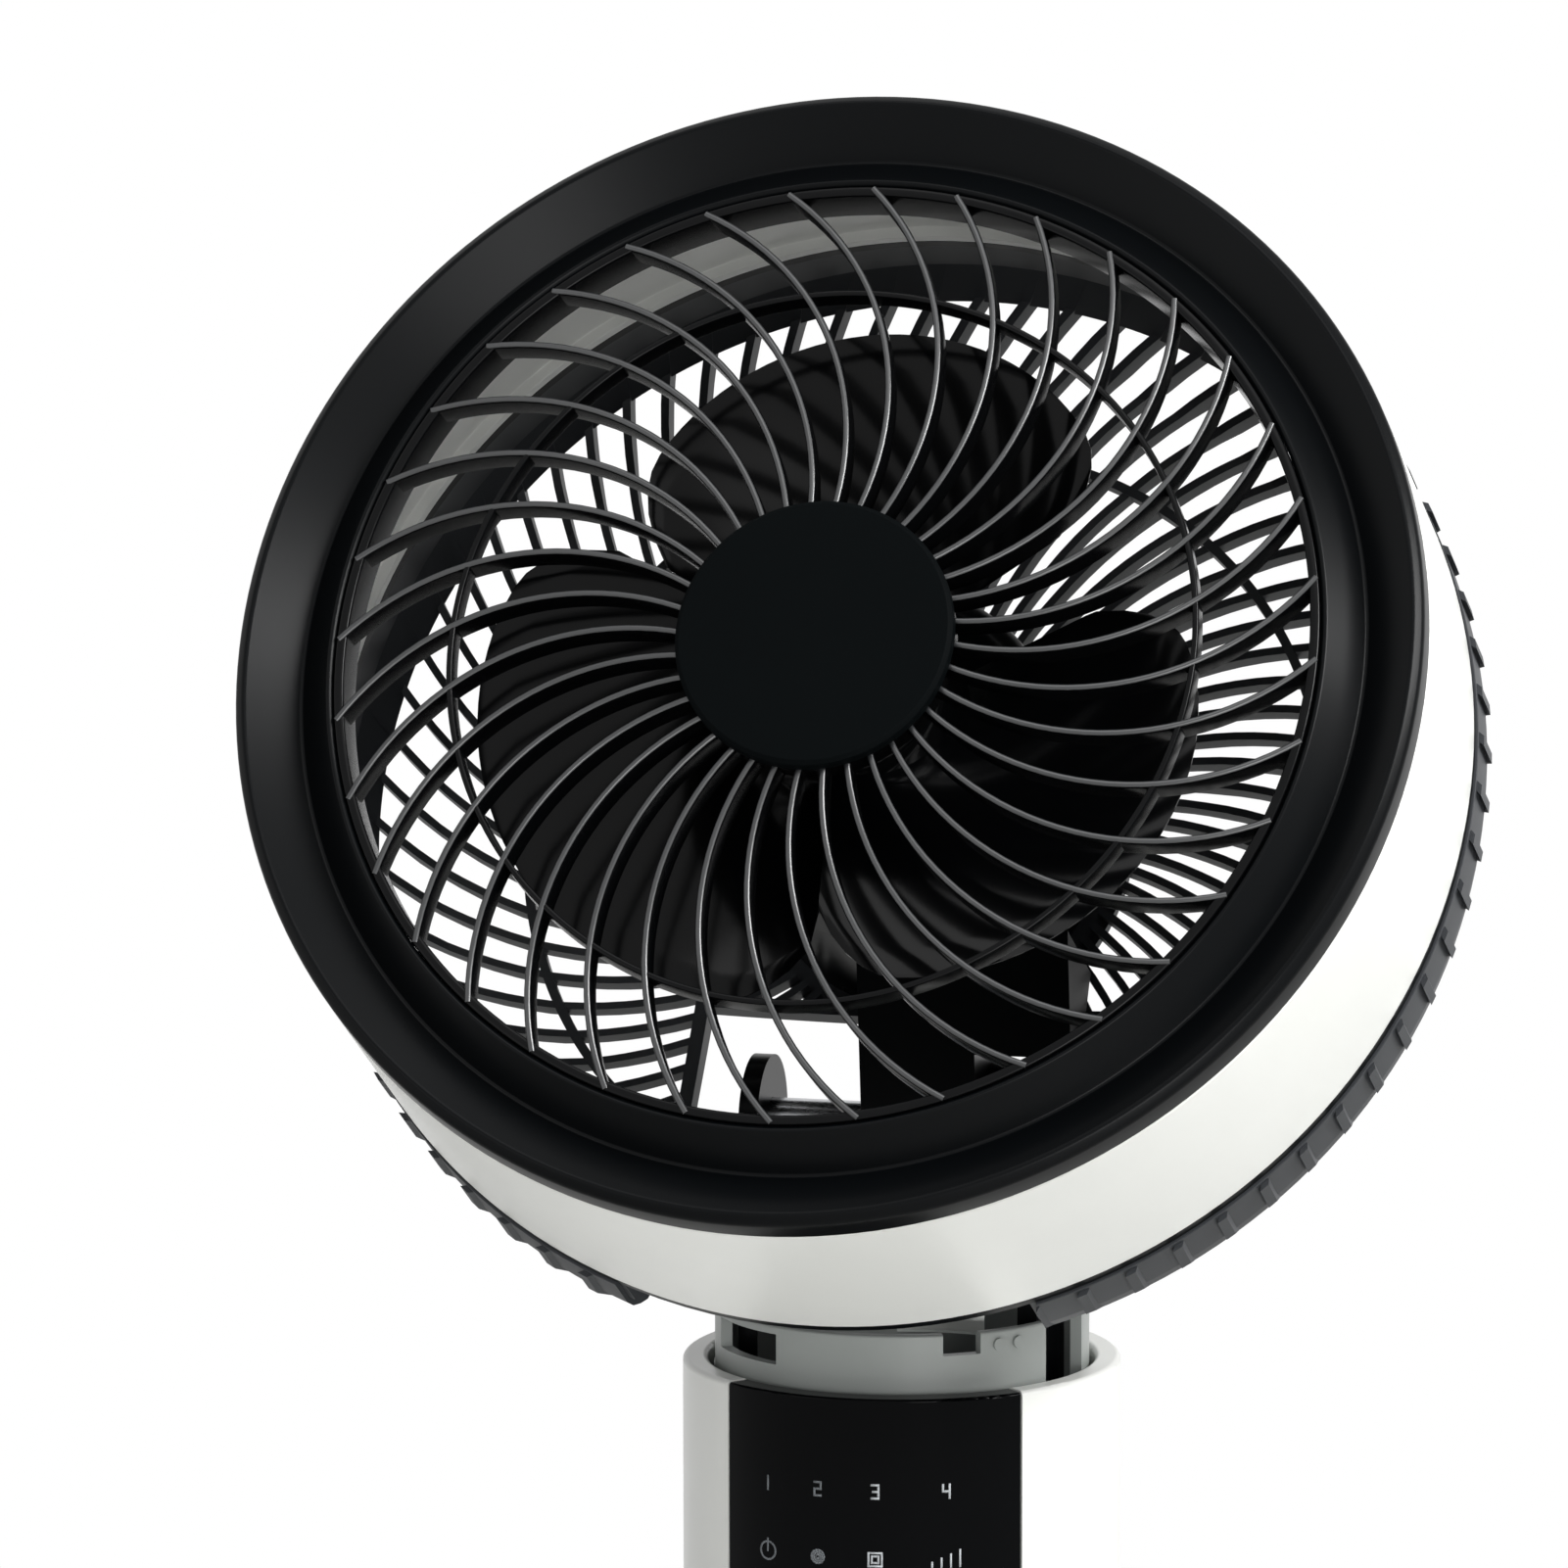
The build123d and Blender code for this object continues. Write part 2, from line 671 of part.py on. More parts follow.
def column_deck():
    """Fixed deck in the column: it guides the yoke's spigot and carries the swing motor."""
    low = -deck_drop - deck_thickness
    inner = column_radius - column_wall - seat_gap
    body = disc(inner - panel_wall, low, -deck_drop)
    body += tube(spigot_radius + 4, spigot_radius + running_clearance, low - 1, -deck_drop)
    body -= disc(spigot_radius + running_clearance, low - 3, 0)
    reach = gear_module * (swing_gear_teeth + swing_pinion_teeth) / 2
    body -= Pos(0, reach, 0) * disc(pinion_bore + 1, low - 1, 0)
    return rim_frame * body


def thrust_washer():
    inner = spigot_radius + 0.5
    return rim_frame * tube(inner + washer_width, inner, -deck_drop, -deck_drop + washer_thickness)


def swing_retainer():
    top = -deck_drop - deck_thickness - 1 - moving_gap
    body = tube(spigot_radius + retainer_width, spigot_radius + seat_gap / 2, top - retainer_thickness, top)
    return rim_frame * body


def column_shell():
    inner = column_radius - column_wall
    body = tube(column_radius, inner, -column_length, 0)
    body += tube(inner + 0.2, column_lip_radius, -column_lip_depth, 0)
    body = fillet(body.edges().group_by(Axis.Z)[-1], 1.4)
    window = wedge(column_radius + 5, panel_half_deg, -90, -panel_length, 5)
    window -= disc(inner - 20, -column_length, 10)
    hole = inlet_place() * Cylinder(inlet_radius + seat_gap, 40)
    return rim_frame * (body - window - hole)


def inlet_place():
    """Axis of the power inlet, low on the column's back and pointing to the rear."""
    return Pos(0, column_radius, -column_length + inlet_rise) * Rot(-90, 0, 0)


def power_inlet():
    """Round socket for the plug of a low-voltage supply."""
    barrel = disc(inlet_radius, -inlet_length, 0) + disc(inlet_radius + 1.6, 0.3, 1.6)
    barrel += disc(inlet_radius, 0, 0.3)
    barrel -= disc(inlet_bore, -inlet_length + 6, 5)
    pin = disc(1.0, -inlet_length + 6, -2)
    return rim_frame * inlet_place() * (barrel + pin)


def control_panel():
    side = math.degrees(panel_gap / column_radius)
    outer = column_radius - 0.15
    inner = outer - panel_wall
    body = tube(outer, inner, -panel_length + panel_gap, -0.3)
    body += tube(inner + 0.2, column_lip_radius, -column_lip_depth, -0.3)
    body = fillet(body.edges().group_by(Axis.Z)[-1], 0.7)
    return rim_frame * (body & wedge(column_radius + 5, panel_half_deg - side, -90, -panel_length, 5))


def display_board():
    back = (column_radius - panel_wall) * math.cos(math.radians(panel_half_deg))
    y = -back + 4
    z = -deck_drop - 12 - display_board_length / 2
    body = Pos(0, y, z) * Box(display_board_width, board_thickness, display_board_length)
    chips = Pos(0, y + 2, z + 20) * Box(14, 2.4, 14) + Pos(-12, y + 3, z - 30) * Box(16, 4.4, 9)
    return rim_frame * (body + chips)


def power_board():
    y = 36.0
    z = -column_length + 40 + power_board_length / 2
    body = Pos(0, y, z) * Box(power_board_width - 10, board_thickness, power_board_length)
    parts = Pos(10, y - 8, z + 20) * Box(18, 14.4, 20) + Pos(-10, y - 5.7, z - 22) * Box(14, 9.8, 16)
    return rim_frame * (body + parts)


def column_cap():
    """Tapered bottom of the column with the socket for the pole."""
    inner = column_radius - column_wall - seat_gap
    bore = pole_radius + seat_gap
    body = spun([
        (column_radius, -column_length - seat_gap),
        (pole_radius + socket_wall + 3, -column_length - cap_taper),
        (bore, -column_length - cap_taper),
        (bore, -column_length + pole_insert - cap_taper),
        (bore + socket_wall, -column_length + pole_insert - cap_taper),
        (bore + socket_wall, -column_length + cap_floor),
        (inner, -column_length + cap_floor),
        (inner, -column_length - seat_gap),
    ])
    return rim_frame * body


def pole():
    top = column_rim_height - column_length + pole_insert - cap_taper - 2
    return tube(pole_radius, pole_radius - pole_wall, pole_bottom, top)


def pole_flange():
    """Steel foot of the pole: a disc under the cover and a sleeve inside the pole."""
    low = pole_bottom - flange_thickness
    body = disc(flange_radius, low, pole_bottom)
    sleeve = pole_radius - pole_wall - seat_gap
    return body + tube(sleeve, sleeve - 2.5, pole_bottom, pole_bottom + sleeve_length)


def base_cover():
    rim_low = foot_height
    crown = base_crown_height
    wall = base_wall
    collar_top = crown + base_collar_height
    hole = pole_radius + seat_gap
    body = spun([
        (base_radius, rim_low),
        (base_radius, rim_low + base_edge_height - 3),
        (base_radius - 4, rim_low + base_edge_height),
        (base_collar_radius + 12, crown),
        (base_collar_radius, crown + 4),
        (pole_radius + socket_wall, collar_top),
        (hole, collar_top),
        (hole, collar_top - wall),
        (pole_radius + 3, crown + 1),
        (base_collar_radius - 1, crown - wall),
        (base_radius - 8, rim_low + base_edge_height - wall),
        (base_radius - wall, rim_low + base_edge_height - wall - 1.5),
        (base_radius - wall, rim_low),
    ])
    return body


def base_plate():
    outer = base_radius - base_plate_inset
    body = disc(outer, foot_height, foot_height + base_plate_thickness)
    hole = Pos(foot_circle, 0, 0) * disc(2, 0, 20)
    return body - turned(hole, foot_count)


def rubber_feet():
    pad = disc(foot_radius, 0, foot_height)
    pad = chamfer(pad.edges().group_by(Axis.Z)[0], 0.8)
    stud = disc(1.8, foot_height, foot_height + base_plate_thickness)
    return Compound(turned(Pos(foot_circle, 0, 0) * (pad + stud), foot_count))


def base_weight():
    low = foot_height + base_plate_thickness
    return tube(weight_outer, weight_inner, low, low + weight_thickness)


def flange_posts():
    low = foot_height + base_plate_thickness
    column = disc(screw_radius + 1, low, pole_bottom - flange_thickness)
    return Compound(turned(Pos(flange_radius - 7, 0, 0) * column, 4, 45))


def save(shape, name):
    export_step(shape, os.path.join("parts", name + ".step"))


def main():
    os.makedirs("parts", exist_ok=True)
    head_parts = {
        "front_bezel": front_bezel,
        "front_grille": front_grille,
        "hub_cap": hub_cap,
        "head_shell": head_shell,
        "rear_trim_ring": rear_trim_ring,
        "rear_grille": rear_grille,
        "impeller": impeller,
        "spinner_nut": spinner_nut,
        "motor_shaft": motor_shaft,
        "motor_front_cover": motor_front_cover,
        "motor_rear_cover": motor_rear_cover,
        "motor_bearings": motor_bearings,
        "motor_screws": motor_screws,
        "motor_stator": motor_stator,
        "motor_rotor": motor_rotor,
        "tilt_arm": tilt_arm,
        "tilt_bushes": tilt_bushes,
    }
    for name, make in head_parts.items():
        save(swing_turn * head_frame * make(), name)
    neck_parts = {
        "tilt_gear": tilt_gear,
        "tilt_pinion": tilt_pinion,
        "tilt_motor": tilt_motor,
        "tilt_axle": tilt_axle,
        "neck_collar": neck_collar,
        "yoke": yoke,
        "swing_gear": swing_gear,
        "swing_retainer": swing_retainer,
    }
    for name, make in neck_parts.items():
        save(swing_turn * make(), name)
    stand_parts = {
        "swing_pinion": swing_pinion,
        "swing_motor": swing_motor,
        "column_deck": column_deck,
        "thrust_washer": thrust_washer,
        "column_shell": column_shell,
        "power_inlet": power_inlet,
        "control_panel": control_panel,
        "display_board": display_board,
        "power_board": power_board,
        "column_cap": column_cap,
        "pole": pole,
        "pole_flange": pole_flange,
        "base_cover": base_cover,
        "base_plate": base_plate,
        "rubber_feet": rubber_feet,
        "base_weight": base_weight,
        "flange_posts": flange_posts,
    }
    for name, make in stand_parts.items():
        save(make(), name)


main()
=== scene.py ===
import json
import math

import bmesh
import bpy
from mathutils import Matrix, Vector


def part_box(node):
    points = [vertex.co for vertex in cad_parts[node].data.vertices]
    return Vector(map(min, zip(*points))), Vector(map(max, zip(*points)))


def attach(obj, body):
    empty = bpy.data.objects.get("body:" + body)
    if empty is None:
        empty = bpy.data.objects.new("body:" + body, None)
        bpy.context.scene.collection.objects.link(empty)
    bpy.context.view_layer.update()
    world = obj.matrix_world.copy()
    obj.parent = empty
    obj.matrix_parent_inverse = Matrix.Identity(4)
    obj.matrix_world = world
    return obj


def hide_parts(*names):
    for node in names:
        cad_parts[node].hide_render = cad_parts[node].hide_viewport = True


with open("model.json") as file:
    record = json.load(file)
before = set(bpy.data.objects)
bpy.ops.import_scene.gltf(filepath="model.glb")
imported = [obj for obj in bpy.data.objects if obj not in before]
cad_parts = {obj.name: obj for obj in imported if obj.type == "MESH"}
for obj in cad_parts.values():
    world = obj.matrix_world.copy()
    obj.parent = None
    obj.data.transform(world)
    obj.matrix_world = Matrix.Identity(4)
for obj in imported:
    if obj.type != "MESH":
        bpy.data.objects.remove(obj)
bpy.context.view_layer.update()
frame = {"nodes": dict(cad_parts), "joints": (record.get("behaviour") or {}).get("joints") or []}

# Pedestal fan with an air-circulator head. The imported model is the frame; this script dresses it.
# Lengths below are in millimetres and are turned to metres where a mesh is made.
MM = 0.001

joints = {joint["name"]: joint for joint in frame["joints"]}
cad = frame["nodes"]


# Materials

CLOUD_MM = 60
GRAIN_DEPTH_MM = 0.1
STREAK_DEPTH_MM = 0.05
METAL_SPREAD = 0.08


def from_hex(text):
    """Linear colour of an sRGB hex value."""
    channels = [int(text[i:i + 2], 16) / 255 for i in (0, 2, 4)]
    linear = [c / 12.92 if c <= 0.04045 else ((c + 0.055) / 1.055) ** 2.4 for c in channels]
    return (*linear, 1.0)


def add_node(owner, kind, settings=None, links=None):
    """Adds a node to a material or world, its inputs fed by other sockets or plain values."""
    node = owner.node_tree.nodes.new(kind)
    for key, value in (settings or {}).items():
        setattr(node, key, value)
    for socket, source in (links or {}).items():
        if isinstance(source, bpy.types.NodeSocket):
            owner.node_tree.links.new(source, node.inputs[socket])
        else:
            node.inputs[socket].default_value = source
    return node


def new_material(name):
    """An empty node material."""
    material = bpy.data.materials.new(name)
    material.use_nodes = True
    material.node_tree.nodes.clear()
    return material


def moulded(name, light, dark, roughness, grain_mm, bump, ior=1.5, specular=0.5, spread=0.05):
    """Injection-moulded plastic: a faint cloudy tone, a fine tool grain and its own gloss."""
    material = new_material(name)
    place = add_node(material, "ShaderNodeTexCoord")
    cloud = add_node(material, "ShaderNodeTexNoise", {}, {
        "Vector": place.outputs["Object"], "Scale": 1 / (CLOUD_MM * MM), "Detail": 3.0})
    tone = add_node(material, "ShaderNodeMix", {"data_type": "RGBA"}, {
        0: cloud.outputs["Fac"], 6: from_hex(light), 7: from_hex(dark)})
    grain = add_node(material, "ShaderNodeTexNoise", {}, {
        "Vector": place.outputs["Object"], "Scale": 1 / (grain_mm * MM), "Detail": 4.0})
    relief = add_node(material, "ShaderNodeBump", {}, {
        "Height": grain.outputs["Fac"], "Strength": bump, "Distance": GRAIN_DEPTH_MM * MM})
    gloss = add_node(material, "ShaderNodeMapRange", {}, {
        "Value": cloud.outputs["Fac"], "To Min": roughness - spread, "To Max": roughness + spread})
    shader = add_node(material, "ShaderNodeBsdfPrincipled", {}, {
        "Base Color": tone.outputs[2], "Roughness": gloss.outputs["Result"],
        "Normal": relief.outputs["Normal"], "IOR": ior, "Specular IOR Level": specular})
    add_node(material, "ShaderNodeOutputMaterial", {}, {"Surface": shader.outputs["BSDF"]})
    return material


def metal(name, light, dark, roughness, streak_mm, bump, stretch=(1.0, 1.0, 14.0)):
    """Machined or rolled metal: streaks of tone and roughness drawn out along one way."""
    material = new_material(name)
    place = add_node(material, "ShaderNodeTexCoord")
    drawn = add_node(material, "ShaderNodeMapping", {}, {
        "Vector": place.outputs["Object"], "Scale": stretch})
    streak = add_node(material, "ShaderNodeTexNoise", {}, {
        "Vector": drawn.outputs["Vector"], "Scale": 1 / (streak_mm * MM), "Detail": 4.0})
    tone = add_node(material, "ShaderNodeMix", {"data_type": "RGBA"}, {
        0: streak.outputs["Fac"], 6: from_hex(light), 7: from_hex(dark)})
    gloss = add_node(material, "ShaderNodeMapRange", {}, {
        "Value": streak.outputs["Fac"],
        "To Min": roughness - METAL_SPREAD, "To Max": roughness + METAL_SPREAD})
    relief = add_node(material, "ShaderNodeBump", {}, {
        "Height": streak.outputs["Fac"], "Strength": bump, "Distance": STREAK_DEPTH_MM * MM})
    shader = add_node(material, "ShaderNodeBsdfPrincipled", {}, {
        "Base Color": tone.outputs[2], "Roughness": gloss.outputs["Result"], "Metallic": 1.0,
        "Normal": relief.outputs["Normal"]})
    add_node(material, "ShaderNodeOutputMaterial", {}, {"Surface": shader.outputs["BSDF"]})
    return material


# Polished ABS: a clean white with a soft gloss, a trace of sink in the moulding.
white_abs = moulded("white_polished_abs", "ECEDE9", "E4E5E1", 0.30, 1.4, 0.04)
# Spark-eroded ABS: a satin black that breaks highlights into a soft band.
satin_abs = moulded("black_satin_abs", "07090B", "040506", 0.29, 0.5, 0.06, specular=0.09)
# Polished black ABS of the front grille's ribs.
gloss_abs = moulded("black_polished_abs", "070809", "040405", 0.20, 1.2, 0.05, specular=0.12)
# Blade ABS: polished deep black that mirrors the studio in small patches.
blade_abs = moulded("black_blade_abs", "060708", "040405", 0.13, 2.0, 0.03, specular=0.14)
# Screen-printed ink of the panel, lit from behind; the left marks take a darker copy of the same
# ink, painted shade on the side turned from the light.
ink_bright = moulded("pale_panel_ink", "B9BDC0", "A7ABAF", 0.5, 0.4, 0.1)
ink_painted_shade = moulded("panel_ink_painted_shade", "6B6F73", "5E6266", 0.5, 0.4, 0.1)
# Matt-eroded ABS of the hub cap: no clear reflection at all.
matt_abs = moulded("black_matt_abs", "06090A", "040607", 0.62, 0.4, 0.12, specular=0.03)
# Front edges of the fins: a paler, glossier black, a painted highlight that draws a thin pale line
# along each edge.
fin_edge_painted_highlight = moulded("black_fin_edge_painted_highlight", "1E2022", "151719", 0.30, 0.8, 0.04, specular=0.9)
# Smoked acrylic of the touch panel: near black, mirror smooth.
panel_acrylic = moulded(
    "black_panel_acrylic", "050607", "040405", 0.10, 3.0, 0.01, ior=1.49, specular=0.05)
# Grained polypropylene of the rear cage: a flat dark grey.
cage_pp = moulded("grey_cage_polypropylene", "3A3C3F", "2C2E31", 0.46, 0.6, 0.12, specular=0.25)
# Moulded neck in pale grey, duller than the casing.
neck_pp = moulded("grey_neck_polypropylene", "A0A4A1", "959A97", 0.42, 0.8, 0.08)
# Acetal of gears and bushes: waxy off-white.
acetal = moulded("cream_acetal", "E3E0D3", "D9D5C6", 0.38, 1.0, 0.04)
# Black gear acetal: waxy, a little paler than the ABS beside it.
black_acetal = moulded("black_acetal", "18191B", "121314", 0.40, 1.0, 0.04, specular=0.25)
# Moulded rubber of the feet.
rubber = moulded("black_foot_rubber", "17181A", "101112", 0.72, 0.5, 0.25)
# Epoxy board with green solder mask.
board = moulded("green_circuit_board", "1C5A34", "17492B", 0.35, 1.0, 0.06)
# Powder coat on the steel pole: white with a fine orange peel.
powder_coat = moulded("white_powder_coat", "F0F1EE", "E9EAE6", 0.34, 0.9, 0.14)
# Cast iron of the weight, painted black against rust.
cast_iron = moulded("black_painted_cast_iron", "202123", "17181A", 0.62, 1.6, 0.5)
# Turned steel of shaft, axle, screws and bearings.
turned_steel = metal("turned_steel", "C9CACC", "A9ABAE", 0.26, 6.0, 0.05)
# Zinc-plated sheet of motor cans and plates, with no drawn direction.
zinc_sheet = metal("zinc_plated_sheet", "B9BDC1", "9EA3A8", 0.34, 9.0, 0.05, (1.0, 1.0, 1.0))
# Stacked iron sheets of the motor, edges showing as fine lines.
laminations = metal("stacked_iron_sheets", "6A6C70", "45474B", 0.45, 2.0, 0.3, (1.0, 1.0, 9.0))

finishes = {
    white_abs: ["head_shell", "column_shell", "column_cap", "base_cover"],
    satin_abs: ["front_bezel", "hub_cap", "rear_trim_ring", "power_inlet", "spinner_nut",
                "motor_front_cover", "motor_rear_cover", "tilt_arm", "yoke"],
    gloss_abs: ["front_grille", "impeller"],
    panel_acrylic: ["control_panel"],
    cage_pp: ["rear_grille", "column_deck"],
    neck_pp: ["neck_collar"],
    acetal: ["tilt_bushes", "swing_gear", "swing_pinion", "thrust_washer"],
    black_acetal: ["tilt_gear", "tilt_pinion"],
    rubber: ["rubber_feet"],
    board: ["display_board", "power_board"],
    powder_coat: ["pole"],
    cast_iron: ["base_weight"],
    turned_steel: ["motor_shaft", "motor_bearings", "motor_screws", "tilt_axle", "swing_retainer",
                   "flange_posts"],
    zinc_sheet: ["tilt_motor", "swing_motor", "pole_flange", "base_plate"],
    laminations: ["motor_stator", "motor_rotor"],
}


def dress(piece, material):
    """Puts a material in a piece's first slot."""
    if piece.data.materials:
        piece.data.materials[0] = material
    else:
        piece.data.materials.append(material)


for material, names in finishes.items():
    for name in names:
        dress(cad[name], material)


# Sizes of the head in its own frame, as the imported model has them
casing_radius = 150.0
casing_wall = 3.0
casing_depth = 80.0
opening_radius = 124.5
valley_radius = 134.6
valley_depth = 9.4
bezel_wall = 2.6
bezel_side = 10.0
dome = 8.0
front_ribs = 36
rib_width = 1.8
rib_depth = 8.0
ring_radius = 94.0
cap_radius = 35.0
cap_height = 4.0
blade_middle = 33.0

# The head's own frame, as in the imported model: Z out of its front, the bezel's crest at 0.
spin = joints["blade_spin"]
head_z = Vector(spin["axis"]).normalized()
head_x = -Vector(joints["head_tilt"]["axis"]).normalized()
head_y = head_z.cross(head_x)
head_front = Vector(spin["pos_m"]) + head_z * blade_middle * MM
head_frame = Matrix((
    (head_x.x, head_y.x, head_z.x, head_front.x),
    (head_x.y, head_y.y, head_z.y, head_front.y),
    (head_x.z, head_y.z, head_z.z, head_front.z),
    (0, 0, 0, 1),
))

# Lathed discs start this near to the axis, so that they have no gap and no folded faces
AXIS = 0.01


# Mesh makers

def rounded(corners, steps=5):
    """An outline of (radius, height, corner round) with an arc in place of each rounded corner."""
    longest = 0.48
    points = []
    count = len(corners)
    for i, (x, y, size) in enumerate(corners):
        here = Vector((x, y))
        if not size:
            points.append(here)
            continue
        back = Vector(corners[i - 1][:2]) - here
        ahead = Vector(corners[(i + 1) % count][:2]) - here
        half = back.angle(ahead) / 2
        reach = min(size / math.tan(half), back.length * longest, ahead.length * longest)
        start, end = here + back.normalized() * reach, here + ahead.normalized() * reach
        for step in range(steps + 1):
            t = step / steps
            points.append(start * (1 - t) ** 2 + here * 2 * t * (1 - t) + end * t ** 2)
    return points


def new_piece(name, points, faces, place, smooth_deg=35):
    """A mesh of points in millimetres, smooth but for its sharp edges.

    The mesh itself is moved into the frame, so the object stays at the origin.
    """
    mesh = bpy.data.meshes.new(name)
    mesh.from_pydata([(x * MM, y * MM, z * MM) for x, y, z in points], [], faces)
    mesh.validate()
    mesh.transform(place)
    bm = bmesh.new()
    bm.from_mesh(mesh)
    bmesh.ops.recalc_face_normals(bm, faces=bm.faces)
    bm.to_mesh(mesh)
    bm.free()
    mesh.shade_smooth()
    mesh.set_sharp_from_angle(angle=math.radians(smooth_deg))
    piece = bpy.data.objects.new(name, mesh)
    bpy.context.collection.objects.link(piece)
    return piece


def ring_faces(rings, size, first=0, closed=False):
    """Quads between rings of equal size, one after the other; closed joins the last to the first."""
    faces = []
    for i in range(rings if closed else rings - 1):
        here, ahead = first + i * size, first + (i + 1) % rings * size
        for k in range(size):
            turn = (k + 1) % size
            faces.append((here + k, here + turn, ahead + turn, ahead + k))
    return faces


def lathe(name, outline, place, segments=192):
    """Turns a closed outline of radius and height about Z."""
    points = []
    for i in range(segments):
        angle = 2 * math.pi * i / segments
        points += [(r * math.cos(angle), r * math.sin(angle), z) for r, z in outline]
    return new_piece(name, points, ring_faces(segments, len(outline), closed=True), place)


def strips(name, runs, place, smooth_deg=35, crown=()):
    """One mesh of many bars; each run is a list of section rings of one size, capped at both ends.

    The sides of the section named in crown take the piece's second material.
    """
    points, faces, seconds = [], [], []
    for run in runs:
        size = len(run[0])
        first = len(points)
        for ring in run:
            points += ring
        faces += ring_faces(len(run), size, first)
        seconds += [int(side in crown) for _ in run[1:] for side in range(size)] + [0, 0]
        last = first + (len(run) - 1) * size
        faces += [tuple(range(first, first + size)), tuple(range(last, last + size))]
    piece = new_piece(name, points, faces, place, smooth_deg)
    piece.data.polygons.foreach_set("material_index", seconds)
    return piece


def arc_points(start, middle, end, count):
    """Points along the arc through three points, each with the way out from the arc's centre."""
    ax, ay, bx, by, cx, cy = *start, *middle, *end
    d = 2 * (ax * (by - cy) + bx * (cy - ay) + cx * (ay - by))
    a2, b2, c2 = ax * ax + ay * ay, bx * bx + by * by, cx * cx + cy * cy
    ux = (a2 * (by - cy) + b2 * (cy - ay) + c2 * (ay - by)) / d
    uy = (a2 * (cx - bx) + b2 * (ax - cx) + c2 * (bx - ax)) / d
    first = math.atan2(ay - uy, ax - ux)
    sweep = math.remainder(math.atan2(cy - uy, cx - ux) - first, 2 * math.pi)
    radius = math.hypot(ax - ux, ay - uy)
    found = []
    for i in range(count):
        angle = first + sweep * i / (count - 1)
        out = (math.cos(angle), math.sin(angle))
        found.append(((ux + radius * out[0], uy + radius * out[1]), out))
    return found


def polar(radius, degrees):
    """Flat point at a radius and an angle."""
    return radius * math.cos(math.radians(degrees)), radius * math.sin(math.radians(degrees))


def turned_points(points, angle):
    """Points turned about Z."""
    c, s = math.cos(angle), math.sin(angle)
    return [(x * c - y * s, x * s + y * c, z) for x, y, z in points]


def turned_runs(run, count, first=0.0):
    """A run of rings set evenly round Z."""
    return [
        [turned_points(ring, first + 2 * math.pi * i / count) for ring in run]
        for i in range(count)
    ]


def dome_height(radius):
    """Height of the front grille's dome at a radius."""
    return dome * (1 - (radius / opening_radius) ** 2)


def fit(piece, body, material, slot, *nodes):
    """Gives a piece its finish, lets it ride and puts it in place of CAD nodes."""
    dress(piece, material)
    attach(piece, body)
    if nodes:
        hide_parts(*nodes)


# Front bezel: one swept lip with a hollow between its crest and the opening's edge.
crest_radius = casing_radius - bezel_wall
lip_inside = opening_radius + bezel_wall
bezel_low = -bezel_side - bezel_wall
underside = -2 * bezel_wall
valley_skin = 0.8
bezel = lathe("bezel_ring", rounded([
    (casing_radius, -bezel_side, 0.3),
    (casing_radius, -bezel_wall * 0.8, 2.2),
    (crest_radius, 0, 1.2),
    (valley_radius, -valley_depth, 1.0),
    (opening_radius + bezel_wall / 2, 0, 0.8),
    (opening_radius, -bezel_wall / 2, 0.8),
    (opening_radius, bezel_low, 0.3),
    (lip_inside, bezel_low, 0.3),
    (lip_inside, underside, 0.5),
    (valley_radius, -valley_depth - bezel_wall - valley_skin, 0.5),
    (crest_radius, underside, 0.5),
    (crest_radius, -bezel_side, 0.3),
]), head_frame)
fit(bezel, "head", satin_abs, "satin_black", "front_bezel")

# Casing ring: white, its edges rounded, with a shallow witness step where it meets the bezel.
inner = casing_radius - casing_wall
step_inset = 0.5
step_low = 0.7
step_end = 1.1
foot = 3
casing = lathe("casing_ring", rounded([
    (casing_radius - step_inset, -bezel_side, 0.2),
    (casing_radius - step_inset, -bezel_side - step_low, 0.1),
    (casing_radius, -bezel_side - step_end, 0.3),
    (casing_radius, -casing_depth, 1.6),
    (inner - foot, -casing_depth, 0.3),
    (inner - foot, -casing_depth + foot, 0.3),
    (inner, -casing_depth + foot, 0.3),
    (inner, -bezel_side, 0.2),
]), head_frame)
fit(casing, "head", white_abs, "white_shell", "head_shell")

# Hub cap: a flat disc with a fine lit edge.
cap_seat = dome_height(cap_radius)
cap_bevel = 1.1
cap = lathe("hub_disc", rounded([
    (AXIS, cap_seat + cap_height, 0),
    (cap_radius - cap_bevel, cap_seat + cap_height, 0.5),
    (cap_radius, cap_seat + cap_height - cap_bevel, 0.5),
    (cap_radius, cap_seat, 0.2),
    (AXIS, cap_seat, 0),
]), head_frame)
fit(cap, "head", matt_abs, "satin_black", "hub_cap")


# Front grille: curved fins with rounded front edges, one fine ring, a rim and a hub.
fin_taper = 0.7
fin_round_deg = (36, 72, 108, 144)
# Sides of the fin's section that take the painted highlight of its front edge.
fin_crown = range(2, 5)
fin_steps = 26
fin_middle = polar(92.0, 8.5)
fin_end_deg = 21.0
fin_root_inset = 2
fin_tip_inset = 0.5
rim_gap = 0.1


def fin_ring(point, out, top, low, width):
    """Section of a fin: a half-round front edge on a slightly tapered blade."""
    (x, y), (nx, ny) = point, out
    half = width / 2
    shape = [(-half * fin_taper, low), (-half, top - half)]
    for degrees in fin_round_deg:
        turn = math.radians(degrees)
        shape.append((-half * math.cos(turn), top - half + half * math.sin(turn)))
    shape += [(half, top - half), (half * fin_taper, low)]
    return [(x + nx * offset, y + ny * offset, z) for offset, z in shape]


